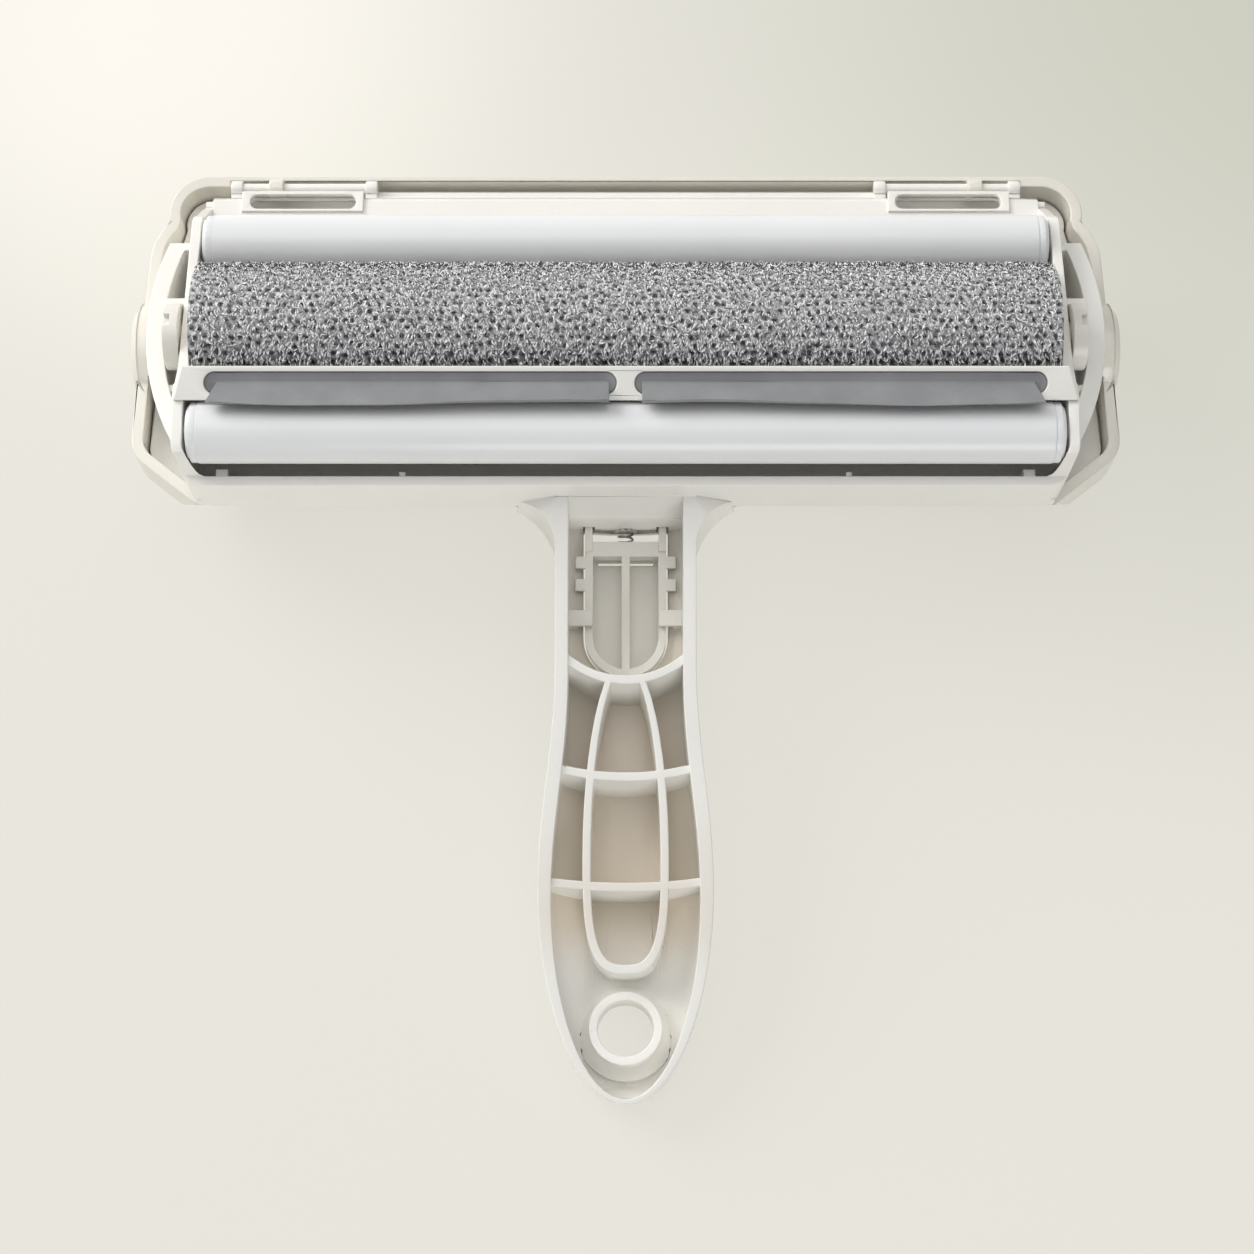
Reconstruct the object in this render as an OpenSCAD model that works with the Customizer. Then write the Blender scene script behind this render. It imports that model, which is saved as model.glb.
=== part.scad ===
// Pet hair removal brush: a T-shaped hand tool with two free-rolling white rollers, a swinging
// drum covered in lint fabric between them, rubber wiper strips, and a hinged hair bin behind.
// It lies on its back: X runs along the head, +Y from the handle's tip to the hinge, +Z to the face.

/* [Rollers] */
// Length of a roller over its end plugs
roller_l = 167.6; // [120:0.2:220]
// Outer diameter of a roller
roller_d = 12; // [9:0.2:13]
// Wall of a roller tube
roller_wall = 1.4; // [1:0.1:2]
// Distance between the two roller axes
roller_span = 43.6; // [43.2:0.1:46]
// Distance of the near roller's axis behind the front wall's face
roller_inset = 8.8; // [8.4:0.1:10]
// Height of the near roller's axis over the parting plane
roller_h = 17.4; // [16:0.1:21]
// Slope of the working face down towards the hinge, in degrees
face_tilt = 9.2; // [7:0.1:11]
// Visible flange of a roller's end plug
plug_flange = 2; // [1.2:0.1:3]
// Diameter of the stub axles
axle_d = 3.6; // [2.6:0.1:4.2]

/* [Drum] */
// Diameter of the drum's plastic core
drum_d = 26.4; // [24:0.2:27]
// Thickness of the lint fabric on the core
fabric_t = 1.3; // [0.8:0.1:1.5]
// Length of the drum and its fabric
drum_l = 167; // [118:0.2:219]
// Wall of the drum's core
drum_wall = 2; // [1.4:0.1:3]
// Diameter of the drum's shaft stubs
drum_axle_d = 6; // [4:0.2:7]
// Diameter of the stop collars on the shaft ends
collar_d = 13; // [10:0.2:14]
// Thickness of a stop collar
collar_t = 3; // [2:0.1:3.4]
// Swing of the drum to either side, in degrees
drum_swing = 55; // [35:1:58]

/* [Frame] */
// Depth of the head from the front wall to the hinge edge
head_depth = 72.7; // [72:0.1:76]
// Thickness of the side plates and the front wall
side_t = 2; // [1.6:0.1:2.6]
// Height of the parting plane between frame and bin lid
parting_h = 33; // [30:0.1:34]
// Height of the front wall above the parting plane
front_h = 12; // [9:0.1:14]
// Height of the side plates' rim over the line through the roller axes
rim_rise = 3.5; // [3:0.1:4.5]
// Half angle of the window that shows the fabric, in degrees
window_a = 55; // [48:1:58]
// Thickness of the bulged end walls
end_wall_t = 3.4; // [2:0.1:4]
// Depth of the frame's floor flange below the parting plane
flange_drop = 5.4; // [4:0.1:6]
// Thickness of the floor flange
flange_t = 2; // [1.4:0.1:2.6]

/* [Wiper strips] */
// Width of the slot that holds a strip
slot_w = 4.4; // [3.6:0.1:4.8]
// Length of each slot
slot_l = 78.6; // [50:0.2:100]
// Width of the web between the two slots of a bar
slot_web = 3.4; // [2:0.1:8]
// Thickness of a strip's lip
lip_t = 0.9; // [0.6:0.1:1.2]
// Reach of a strip's lip towards its roller
lip_l = 4.4; // [3:0.1:4.8]

/* [Bin lid] */
// Wall of the lid
lid_wall = 2; // [1.4:0.1:2.4]
// Width of the lid's rim
rim_t = 2.4; // [2:0.1:3]
// Width of the lid's rim along the hinge
far_rim_t = 1.1; // [0.9:0.1:1.3]
// Lean of the lid's front wall, in degrees
lean = 20.5; // [17:0.5:23]
// Diameter of the round boss on each end of the lid
boss_d = 19.2; // [14:0.2:22]
// How far the boss stands out of the lid's end
boss_out = 1.6; // [0.8:0.1:3]
// Diameter of the hinge pins
pin_d = 2.2; // [1.6:0.1:2.4]
// Length of a hinge pin
pin_l = 30; // [28:0.1:34]

/* [Handle] */
// Length of the handle from the front wall to its tip
handle_l = 113.7; // [90:0.1:140]
// Half width of the grip at its widest
grip_r = 17.1; // [15:0.1:20]
// Half width of the neck
neck_r = 13.8; // [12.6:0.1:15]
// Fillet where the neck flares into the head
flare_r = 11; // [6:0.1:14]
// Thickness of the handle's side walls
handle_wall = 2.6; // [1.8:0.1:3]
// Thickness of the handle's back
back_t = 2; // [1.6:0.1:2.6]
// Height of the handle's front rim over the parting plane where it meets the head
handle_root_h = 6.4; // [3:0.1:8]
// Height of the handle's front rim at the tip
handle_tip_h = 9.5; // [8:0.1:14]
// Thickness of the handle's ribs
rib_t = 1.6; // [1.2:0.1:2.2]
// Diameter of the hanging hole
hang_d = 11; // [8:0.2:13]
// Distance of the hanging hole's centre from the tip
hang_from_tip = 14.4; // [13:0.1:20]
// Wall round the hanging hole
hang_wall = 1.7; // [1.4:0.1:2.6]

/* [Release button] */
// Width of the button
button_w = 16.3; // [14:0.1:17]
// Length of the button
button_l = 27.4; // [24:0.1:28]
// Travel of the button towards the head
button_travel = 2; // [1:0.1:2.2]
// Wall of the button
button_wall = 1.6; // [1.2:0.1:2]

/* [Hidden] */
$fn = 64;

// Clearances between pieces
end_gap = 0.6;
drum_gap = 0.9;
axle_fit = 0.08;
run_gap = 0.8;
lid_gap = 0.4;
slide_gap = 0.35;
seat_gap = 0.15;
eps = 0.02;
far = 400;

// Places that follow from the driving sizes
front_y = (handle_l - head_depth) / 2;
tip_y = front_y - handle_l;
far_y = front_y + head_depth;
near_y = front_y + roller_inset;
inner_x = max(roller_l / 2 + end_gap, drum_l / 2 + drum_gap);
outer_x = inner_x + side_t;
near_z = parting_h + roller_h;
drum_y = near_y + roller_span / 2 * cos(face_tilt);
drum_z = near_z - roller_span / 2 * sin(face_tilt);
drum_r = drum_d / 2 + fabric_t;
hood_r = drum_r + run_gap;
roller_clear = roller_d / 2 + run_gap;
flange_top = parting_h - flange_drop;
flange_low = flange_top - flange_t;
hinge_y = far_y - 3.2;
hinge_z = parting_h + 0.5;
edge_r = pin_d / 2 + 0.5;
knuckle_r = edge_r + lid_gap;

// Ends of the head, out from the side plates
end_x = outer_x + 12.2;
bulge_x = outer_x + 8.4;
boss_y = far_y - 37.5;
boss_z = parting_h - 4.5;

// Hinge zones along the far edge
post_t = 2.4;
zone_out = inner_x - 5.8;
zone_in = zone_out - 25.2;

// Handle's slopes and the button's own frame on the handle's back
front_slope = (parting_h + handle_root_h - handle_tip_h) / handle_l;
back_slope = 0.155;
back_tilt = atan(back_slope);
crown_r = 22;
root_wall_t = 1.8;
root_y = front_y + 0.6;
back_y = front_y - 20.5;
button_back = 13.95;
button_front = 18;
hang_y = tip_y + hang_from_tip;

// Leaning planes: the handle's end, and the lid's front wall behind it
function root_at(z) = front_y + 0.1 + (parting_h - z) * tan(lean);
function lid_at(z) = root_at(z) + lid_gap;

// Round the hinge, the reach of the lid's front edge
sweep_r = hinge_y - front_y - 0.1 - lid_gap;
function rim_z(y) = handle_tip_h + (y - tip_y) * front_slope;
function back_z(y) = button_back + back_slope * (y - back_y);
function arc(c, r, a0, a1, n) = [for (i = [0 : n]) c + r * [cos(a0 + (a1 - a0) * i / n), sin(a0 + (a1 - a0) * i / n)]];
function mirrored(p) = [for (i = [len(p) - 1 : -1 : 0]) [-p[i][0], p[i][1]]];
function both(p) = concat(p, mirrored(p));
function axis_z(y) = near_z - (y - near_y) * tan(face_tilt);

// Half outline of the head, seen from the front and set in by i, from the hinge edge round the end
function head_half(i) = concat(
    arc([end_x - 13.1, far_y - 8.3], 8.3 - i, 90, -14.5, 10),
    arc([end_x - 14.3, far_y - 19.3], 12.8 - i, 44.2, 0, 5),
    arc([end_x - 7.2, front_y + 14.8], 7.2 - i, 0, -55.5, 6),
    arc([end_x - 17.1, front_y + 8], 8 - i, -55.5, -90, 3));

// Half width of the handle at y: an ellipse at the tip, then a slow waist up to the neck
belly_y = tip_y + 39.9;
neck_y = tip_y + 81.5;
function grip_w(y) =
    y < belly_y ? grip_r * sqrt(max(0, 1 - pow((belly_y - y) / (belly_y - tip_y), 2)))
    : y < neck_y ? neck_r + (grip_r - neck_r) * (1 + cos(180 * (y - belly_y) / (neck_y - belly_y))) / 2
    : neck_r;
function grip_half(i) = concat(
    [[neck_r - i, root_y]],
    [for (k = [0 : 10]) let (y = neck_y + (belly_y - neck_y) * k / 10) [grip_w(y) - i, y]],
    [for (k = [1 : 16]) let (a = 90 * k / 16) [(grip_r - i) * cos(a), belly_y - (belly_y - tip_y - i) * sin(a)]]);

// Half width of the closed loop of long ribs inside the handle
rib_top = back_y + button_front - button_l - 4.6;
grip_span = rib_top - tip_y;
loop_y = tip_y + grip_span * 0.5745;
loop_top = rib_top - loop_y + 3.4;
loop_low = loop_y - hang_y - hang_d / 2 - hang_wall - 3.4;
loop_r = 7.6;
loop_full = 0.66;
function loop_half(r) = concat(
    [for (k = [0 : 11]) let (a = 90 - 90 * k / 12) [(loop_r + r) * cos(a), loop_y + (loop_top + r) * sin(a)]],
    [for (k = [0 : 16]) let (a = 90 * k / 16)
        [(loop_r + r) * pow(cos(a), loop_full), loop_y - (loop_low + r) * pow(sin(a), loop_full)]]);

// Puts a flat profile of (y, z) points across the head from x0 to x1
module across(x0, x1) {
    translate([x0, 0, 0]) rotate([90, 0, 90]) linear_extrude(x1 - x0) children();
}

// Own frame of the working face: y runs from the near roller to the far one, z out of the face
module on_face() {
    translate([0, drum_y, drum_z]) rotate([-face_tilt, 0, 0]) children();
}

// Own frame of the handle's back, where the button slides
module on_back() {
    translate([0, back_y, button_back]) rotate([back_tilt, 0, 0]) children();
}

// A cylinder along X between x0 and x1
module bar_x(r, x0, x1) {
    translate([x0, 0, 0]) rotate([0, 90, 0]) cylinder(r = r, h = x1 - x0);
}

module both_sides() {
    children();
    mirror([1, 0, 0]) children();
}

// Box by its two corners
module block(a, b) {
    translate(a) cube(b - a);
}

// Side plates and front wall as one ring with rounded near corners
module box_ring() {
    difference() {
        polygon(both(concat([[outer_x, far_y - 7.5]],
            arc([outer_x - 5, front_y + 5], 5, 0, -90, 9))));
        polygon(both(concat([[inner_x, far_y]],
            arc([inner_x - 3, front_y + side_t + 3], 3, 0, -90, 7))));
    }
}

// Rim of the side plates: up from the front wall, a low hump under the bar, down to the deck
bar_rise = 1.8;
function rim_at(y, rise) = [y, axis_z(y) + rim_rise + rise];
module rim_profile() {
    polygon(concat([[front_y - 1, parting_h + 0.3], [front_y - 1, parting_h + front_h],
        [front_y + side_t, parting_h + front_h], rim_at(front_y + side_t + 1.2, -0.9),
        rim_at(front_y + side_t + 3, 0), rim_at(drum_y - 19, bar_rise), rim_at(drum_y - 13, bar_rise),
        rim_at(drum_y - 8, 0)],
        arc(rim_at(far_y - 18.5, -4), 4, 82, 10, 6),
        [[far_y - 9.4, parting_h + 3.4], [far_y - 7.5, parting_h + 0.3]]));
}

module box_walls() {
    intersection() {
        translate([0, 0, parting_h]) linear_extrude(40) box_ring();
        across(-far, far) rim_profile();
    }
    intersection() {
        translate([0, 0, flange_low]) linear_extrude(flange_drop + flange_t + 0.3 + eps) box_ring();
        translate([0, 0, -1]) linear_extrude(far) polygon(both(head_half(rim_t + lid_gap)));
        behind(skirt_gap);
    }
}

// Everything behind the lid's leaning front wall, d further in
skirt_gap = 3.4;
module behind(d) {
    across(-far, far) polygon([[lid_at(far) + d, far], [lid_at(-far) + d, -far], [far * 2, -far], [far * 2, far]]);
}

// Sill behind the front wall and the skirt that reaches down inside the bin lid
module sill() {
    across(-inner_x - eps, inner_x + eps) polygon([[front_y + 0.4, parting_h + 0.3],
        [front_y + 0.4, parting_h + 3], [front_y + side_t, parting_h + 3],
        [front_y + 8.4, parting_h + 1.9], [front_y + 8.4, flange_low],
        [front_y + 6.4, flange_low], [front_y + 6.4, parting_h + 0.3]]);
}

module floor_flange() {
    intersection() {
        difference() {
            translate([0, 0, flange_low]) linear_extrude(flange_t) polygon(both(head_half(rim_t + lid_gap)));
            block([-inner_x, front_y, 0], [inner_x, far_y - 13.4, parting_h]);
        }
        behind(skirt_gap);
    }
}

// Bulged wall round each end pocket, its rim sloping with the face
bulge_r = 53.3;
bulge_c = [bulge_x - bulge_r, front_y + 34.8];
pocket_y = front_y + 53.4;
module end_pocket() {
    rim_a = parting_h + 13;
    rim_b = parting_h + 8.4;
    intersection() {
        translate([bulge_c[0], bulge_c[1], flange_top - eps]) difference() {
            cylinder(r = bulge_r, h = 30, $fn = 180);
            translate([0, 0, -1]) cylinder(r = bulge_r - end_wall_t, h = 32, $fn = 180);
        }
        across(outer_x - eps, bulge_x + 1) polygon([[front_y + 3.4, flange_top - 1],
            [front_y + 3.4, rim_a], [pocket_y, rim_b], [pocket_y, flange_top - 1]]);
        union() {
            behind(skirt_gap);
            translate([0, 0, parting_h + 0.3]) linear_extrude(far) square(far, center = true);
        }
    }
    // flat cross wall at the pocket's far end, a stop rib on either side of the drum's axis
    block([outer_x - eps, pocket_y - 1.8, flange_top - eps], [bulge_x - 4.2, pocket_y, rim_b]);
    for (side = [-1, 1])
        block([outer_x - eps, drum_y + side * stop_y - stop_t / 2, flange_top - eps],
            [bulge_x - end_wall_t, drum_y + side * stop_y + stop_t / 2, stop_z]);
}

// Stop ribs: the collar's lug meets their inner faces at the end of the swing
lug_r = collar_d / 2 + 2.6;
lug_w = 2.4;
lug_t = collar_t - 0.5;
stop_t = 1.5;
stop_z = drum_z - lug_r * cos(drum_swing) + lug_w / 2 * sin(drum_swing) + 0.6;
stop_y = lug_r * sin(drum_swing) + lug_w / 2 * cos(drum_swing) + stop_t / 2 + 0.35;

// Bar between the drum and one roller: outer face from the window's edge down to the roller
bar_top = [-hood_r * sin(window_a) - 0.55, hood_r * cos(window_a) + 1.1];
bar_low = [-roller_span / 2 + 3.6, bar_top[1] - 3.9];
bar_dir = (bar_low - bar_top) / norm(bar_low - bar_top);
bar_mid = (bar_top + bar_low) / 2;
bar_a = atan2(bar_dir[1], bar_dir[0]);

// Own frame of a bar's outer face: x along the head, y down the face to the roller, z outwards
module on_bar() {
    on_face() translate([0, bar_mid[0], bar_mid[1]]) rotate([bar_a, 0, 0]) mirror([0, 0, 1]) children();
}

module bar_section() {
    difference() {
        polygon([bar_top, [bar_top[0] + 0.9, bar_top[1] - 1.2], [-hood_r + 1, 2.8],
            [bar_low[0], 2.8], bar_low]);
        circle(r = hood_r, $fn = 128);
        translate([-roller_span / 2, 0]) circle(r = roller_clear, $fn = 96);
    }
}

// Stadium of width w between x0 and x1, in the bar's own frame, from depth z0 to z1
module stadium(w, x0, x1, z0, z1) {
    block([x0 + w / 2, -w / 2, z0], [x1 - w / 2, w / 2, z1]);
    for (x = [x0 + w / 2, x1 - w / 2]) translate([x, 0, z0]) cylinder(d = w, h = z1 - z0, $fn = 48);
}

// Its ends run out over the side plates and slope down to their rims
ledge = 1.2;
foot_w = slot_w - 1.8;
bar_end_a = 64;
module hood_bar() {
    difference() {
        on_face() across(-outer_x, outer_x) bar_section();
        for (s = [0, 1]) mirror([s, 0, 0]) {
            on_bar() {
                stadium(slot_w, slot_web / 2, slot_web / 2 + slot_l, -ledge, 2);
                stadium(foot_w, slot_web / 2 + 0.9, slot_web / 2 + slot_l - 0.9, -6, 0);
            }
            on_face() translate([outer_x, 0, rim_rise + bar_rise + 0.2]) rotate([0, bar_end_a, 0])
                block([-far, -far, 0], [far, far, far]);
        }
    }
}

// Deck behind the far roller with its ledges, channel and two long windows
deck_y = far_y - 13.8;
deck_z = parting_h + 2.6;
window_y = far_y - 7.4;
window_r = 1.6;
module deck_window() {
    translate([0, window_y, parting_h - 1]) {
        block([zone_in + 3.3, -window_r, 0], [zone_out - 3.5, window_r, 10]);
        for (x = [zone_in + 3.3, zone_out - 3.5]) translate([x, 0, 0]) cylinder(r = window_r, h = 10, $fn = 40);
    }
}
module deck() {
    difference() {
        across(-inner_x - eps, inner_x + eps) polygon([[deck_y, flange_low], [deck_y, deck_z],
            [far_y - 6.9, deck_z], [far_y - 5.7, deck_z - 1.2], [far_y - 5.7, parting_h + 0.4],
            [deck_y + 1.8, parting_h + 0.4], [deck_y + 1.8, flange_low]]);
        both_sides() deck_window();
    }
    // ledge and channel floor of the middle section
    across(-zone_in, zone_in) polygon([[far_y - 5.8, parting_h - 3], [far_y - 5.8, parting_h + 0.8],
        [far_y - 4.8, parting_h + 0.6], [far_y - 4.8, channel_z], [hinge_y + 0.3, channel_z],
        [hinge_y + 0.3, channel_z - 1.6], [hinge_y - 0.4, channel_z - 1.6], [hinge_y - 0.4, flange_top - eps],
        [hinge_y - 1.8, flange_top - eps], [hinge_y - 1.8, parting_h - 3]]);
    // raised frames round the windows
    both_sides() difference() {
        block([zone_in + 0.2, window_y - 2.2, deck_z - 0.5], [zone_out - 0.2, window_y + 2.4, deck_z + 0.6]);
        deck_window();
    }
}
channel_z = parting_h - 1.5;

// Posts that hold the ends of the hinge pins, and the cross walls of the far corners
module hinge_edge() {
    difference() {
        both_sides() for (x = [zone_in - post_t, zone_out]) {
            translate([0, hinge_y, hinge_z]) bar_x(edge_r, x, x + post_t);
            block([x, hinge_y - edge_r * 0.95, flange_top - eps], [x + post_t, hinge_y, hinge_z + edge_r * 0.6]);
            block([x, far_y - 6.5, flange_top - eps], [x + post_t, hinge_y - 1, parting_h + 1.2]);
        }
        both_sides() translate([0, hinge_y, hinge_z]) bar_x(pin_d / 2, zone_in - post_t, zone_out + post_t);
    }
    both_sides() block([zone_out, far_y - 6.9, flange_top - eps],
        [inner_x + side_t, far_y - 5.6, parting_h - 0.4]);
}
pin_x = (zone_in + zone_out - pin_l) / 2;

// Small tabs on the inside of the front wall
module wall_tabs() {
    both_sides() {
        block([inner_x - 7.4, front_y + side_t - eps, parting_h + 2],
            [inner_x - 5, front_y + side_t + 1.8, parting_h + front_h - 1]);
        block([inner_x / 2 + 0.4, front_y + side_t - eps, parting_h + 2],
            [inner_x / 2 + 1.6, front_y + side_t + 1, parting_h + front_h - 0.4]);
    }
    block([-0.8, front_y + side_t - eps, parting_h + 2], [0.8, front_y + side_t + 1.6, parting_h + front_h - 5]);
}

// Solid between the handle's front rim line and its crowned back, inside the outline set in by i
module handle_mass(i, lift) {
    intersection() {
        linear_extrude(far, center = true) union() {
            polygon(both(grip_half(i)));
            if (i == 0) translate([-neck_r, root_y - eps]) square([2 * neck_r, 12]);
            else translate([-neck_r + i, root_y - eps]) square([2 * (neck_r - i), 12]);
        }
        difference() {
            across(-far, far) polygon([[tip_y - 1, -far], [tip_y - 1, rim_z(tip_y - 1) + lift],
                [root_y, rim_z(root_y) + lift], [root_y, parting_h + 0.3], [root_y + 9, parting_h + 0.3],
                [root_y + 9, -far]]);
            lid_sweep();
        }
        on_back() translate([0, 0, crown_r + i * back_t / handle_wall]) rotate([90, 0, 0])
            cylinder(r = crown_r, h = far, center = true, $fn = 160);
        tip_round(i);
        translate([0, 0, 0]) linear_extrude(far) square(far, center = true);
    }
}

// Room that the opening lid sweeps below the parting plane
module lid_sweep() {
    intersection() {
        translate([0, hinge_y, hinge_z]) rotate([0, 90, 0])
            cylinder(r = sweep_r + lid_gap, h = far, center = true, $fn = 360);
        block([-far, 0, -far], [far, far, parting_h + 0.3]);
    }
}

// The back turns up to the rim round the tip
tip_turn = 12;
module tip_round(i) {
    translate([0, tip_y + tip_turn, handle_tip_h]) rotate([0, 90, 0])
        cylinder(r = tip_turn - i, h = far, center = true, $fn = 96);
    translate([-far / 2, tip_y + tip_turn, -far / 2]) cube(far);
}

// Wings that flare from the neck into the front wall, their tops sloping outwards
module flare() {
    wing = neck_r + flare_r - 0.15;
    both_sides() intersection() {
        linear_extrude(far) difference() {
            translate([neck_r - 1, root_y - flare_r]) square([flare_r + 1, flare_r]);
            translate([wing, root_y - flare_r]) circle(r = flare_r, $fn = 96);
        }
        rotate([90, 0, 0]) linear_extrude(far, center = true) polygon([[neck_r - 2, back_z(back_y) + 7],
            [neck_r - 2, rim_z(root_y)], [neck_r - 0.4, rim_z(root_y)], [wing, parting_h + 0.3 + 1],
            [wing, parting_h - 1.4], [neck_r + 4, parting_h - 6]]);
        difference() {
            across(-far, far) polygon([[tip_y - 1, rim_z(tip_y - 1)], [root_y, rim_z(root_y)],
                [root_y, 0], [tip_y - 1, 0]]);
            lid_sweep();
        }
    }
}

// Ribs of the handle: three curved cross ribs and one long closed loop
module cross_ribs() {
    for (r = [[rib_top, 18.2], [tip_y + grip_span * 0.77, 54], [tip_y + grip_span * 0.509, 111]])
        translate([0, r[0] + r[1]]) difference() {
            circle(r = r[1] + rib_t / 2, $fn = 180);
            circle(r = r[1] - rib_t / 2, $fn = 180);
            translate([-far / 2, -r[1] * 0.6]) square(far);
        }
}
module long_rib() {
    intersection() {
        difference() {
            polygon(both(loop_half(rib_t / 2)));
            polygon(both(loop_half(-rib_t / 2)));
        }
        translate([-far / 2, tip_y]) square([far, grip_span]);
    }
}

boss_top = rim_z(hang_y) - 3.4;
module handle() {
    difference() {
        union() {
            handle_mass(0, 0);
            flare();
        }
        difference() {
            translate([0, -root_wall_t, 0]) handle_mass(handle_wall, 5);
            // the end wall bulges into the handle
            translate([0, root_y - root_wall_t - root_bulge + root_bulge_r, root_brow_z])
                cylinder(r = root_bulge_r, h = far, $fn = 180);
        }
        // the front wall's face runs on into the handle
        across(-neck_r + handle_wall, neck_r - handle_wall) polygon([[root_y - 4, root_brow_z],
            [root_y - root_wall_t, root_brow_z], [front_y - eps, root_top], [root_y - 4, root_top]]);
        // opening for the release button
        on_back() button_hole();
        // slots for the button's arms
        on_back() both_sides() block([arm_x - slide_gap, button_front, arm_z0 - slide_gap],
            [arm_x + arm_t + slide_gap, root_reach + 6, arm_z1 + slide_gap]);
    }
    intersection() {
        handle_mass(1, -0.7);
        translate([0, 0, -1]) linear_extrude(far) {
            cross_ribs();
            long_rib();
        }
    }
    // wall round the hanging hole
    intersection() {
        translate([0, hang_y, 0]) union() {
            cylinder(d = hang_d + 2 * hang_wall, h = boss_top);
            // its foot widens into the floor
            translate([0, 0, boss_top - 5]) cylinder(r1 = hang_d / 2 + hang_wall + 2.4, r2 = hang_d / 2 + hang_wall - eps, h = 2.4);
            cylinder(r = hang_d / 2 + hang_wall + 2.4, h = boss_top - 5 + eps);
        }
        handle_mass(0.4, 0);
    }
    on_back() {
        // clips over the button's rim
        both_sides() {
            block([button_w / 2 + 1.2, clip_y, back_t - 0.5], [neck_r - 1.8, clip_y + 3.2, clip_z + 1.6]);
            block([button_w / 2 - 1.6, clip_y, clip_z], [neck_r - 1.8, clip_y + 3.2, clip_z + 1.6]);
        }
    }
    // seat of the button's spring on the end wall
    difference() {
        on_back() translate([0, seat_y, spring_z]) rotate([-90, 0, 0]) cylinder(r = 2.4, h = 3.4);
        lid_sweep();
    }
}
root_bulge = 1.4;
root_bulge_r = 40;
root_brow_z = parting_h - 3;
root_top = rim_z(root_y) + 0.5;

// Release button sizes, in the frame of the handle's back
button_rim = 6.2;
button_low = -1;
arm_t = 1.5;
arm_x = button_w / 2 - arm_t;
arm_z0 = 3.4;
arm_z1 = 7;
clip_z = button_rim + slide_gap;
clip_y = 0.6;
seat_y = button_front + 2.5;
spring_z = 3;
spring_nest = 1.6;
function floor_at(x) = crown_r - sqrt(pow(crown_r - back_t, 2) - x * x);
arm_h = 21;
sweep_y = hinge_y - sqrt(pow(sweep_r + lid_gap, 2) - pow(hinge_z - arm_h, 2));
root_reach = (sweep_y - back_y - 0.2) / cos(back_tilt) + 0.5;
module button_shape(i) {
    r = button_w / 2 - i;
    translate([0, button_front - button_l + button_w / 2]) circle(r = r, $fn = 64);
    translate([-r, button_front - button_l + button_w / 2]) square([2 * r, button_l - button_w / 2 - max(i, 0)]);
}
module button_hole() {
    translate([0, 0, -8]) linear_extrude(16) union() {
        button_shape(-slide_gap);
        translate([-button_w / 2 - slide_gap, 0]) square([button_w + 2 * slide_gap, button_front + button_travel + slide_gap]);
    }
}

module main_frame() {
    color([0.93, 0.92, 0.89]) difference() {
        union() {
            box_walls();
            sill();
            floor_flange();
            both_sides() end_pocket();
            hood_bar();
            deck();
            hinge_edge();
            wall_tabs();
            handle();
        }
        // bearings of the rollers and the drum in the side plates
        on_face() {
            for (s = [-1, 1]) translate([0, s * roller_span / 2, 0])
                bar_x(axle_d / 2 + axle_fit, -outer_x - 1, outer_x + 1);
            bar_x(drum_axle_d / 2 + axle_fit, -outer_x - 1, outer_x + 1);
        }
        // hanging hole
        translate([0, hang_y, -1]) cylinder(d = hang_d, h = 40);
    }
}

// Bin lid: a deep scoop with a rounded bottom, two knuckles a side and a round boss on each end
lid_levels = [[parting_h - 9, 0.3], [17, 1.8], [10, 5], [4.6, 10], [1.4, 16], [0, 22]];
module lid_level(i) {
    half = head_half(min(i, 6.5));
    extra = max(0, i - 6.5);
    mid = (far_y + front_y) / 2;
    span = head_depth / 2 - min(i, 6.5);
    polygon(both([for (p = half) [p[0] - extra * 0.6, mid + (p[1] - mid) * (span - extra) / span]]));
}

module lid_scoop(inset, lift) {
    hull() for (l = lid_levels) translate([0, 0, l[0] + (l[0] < 16 ? lift : 0)])
        linear_extrude(0.01) lid_level(l[1] + inset);
}

module bin_lid() {
    color([0.90, 0.89, 0.85]) difference() {
        union() {
            difference() {
                union() {
                    intersection() {
                        union() {
                            lid_scoop(0, 0);
                            translate([0, 0, parting_h - 9]) linear_extrude(9) polygon(both(head_half(0)));
                        }
                        behind(0);
                    }
                    both_sides() translate([0, boss_y, boss_z]) {
                        bar_x(boss_d / 2, bulge_x + 0.6, end_x - 2.4 + boss_out);
                        translate([end_x - 2.4 + boss_out - eps, 0, 0]) rotate([0, 90, 0])
                            cylinder(r1 = boss_d / 2, r2 = boss_d / 2 - 1.6, h = 1.4);
                    }
                }
                intersection() {
                    union() {
                        lid_scoop(lid_wall, lid_wall);
                        translate([0, 0, parting_h - 9 - eps]) linear_extrude(9 + 1) polygon(both(head_half(rim_t)));
                    }
                    behind(lid_wall / cos(lean));
                }
                // thinner rim along the hinge
                block([-post_x, far_y - 9, hinge_z - 5], [post_x, far_y - far_rim_t, parting_h + 9]);
            }
            // hinge knuckles round the pins
            both_sides() {
                translate([0, hinge_y, hinge_z]) bar_x(knuckle_r, knuckle_x, knuckle_x + 3);
                block([knuckle_x, hinge_y, hinge_z - 4.4], [knuckle_x + 3, far_y - far_rim_t + eps, parting_h - 0.4]);
            }
        }
        both_sides() translate([0, hinge_y, hinge_z]) bar_x(pin_d / 2 + axle_fit, zone_in, zone_out);
    }
}

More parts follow.
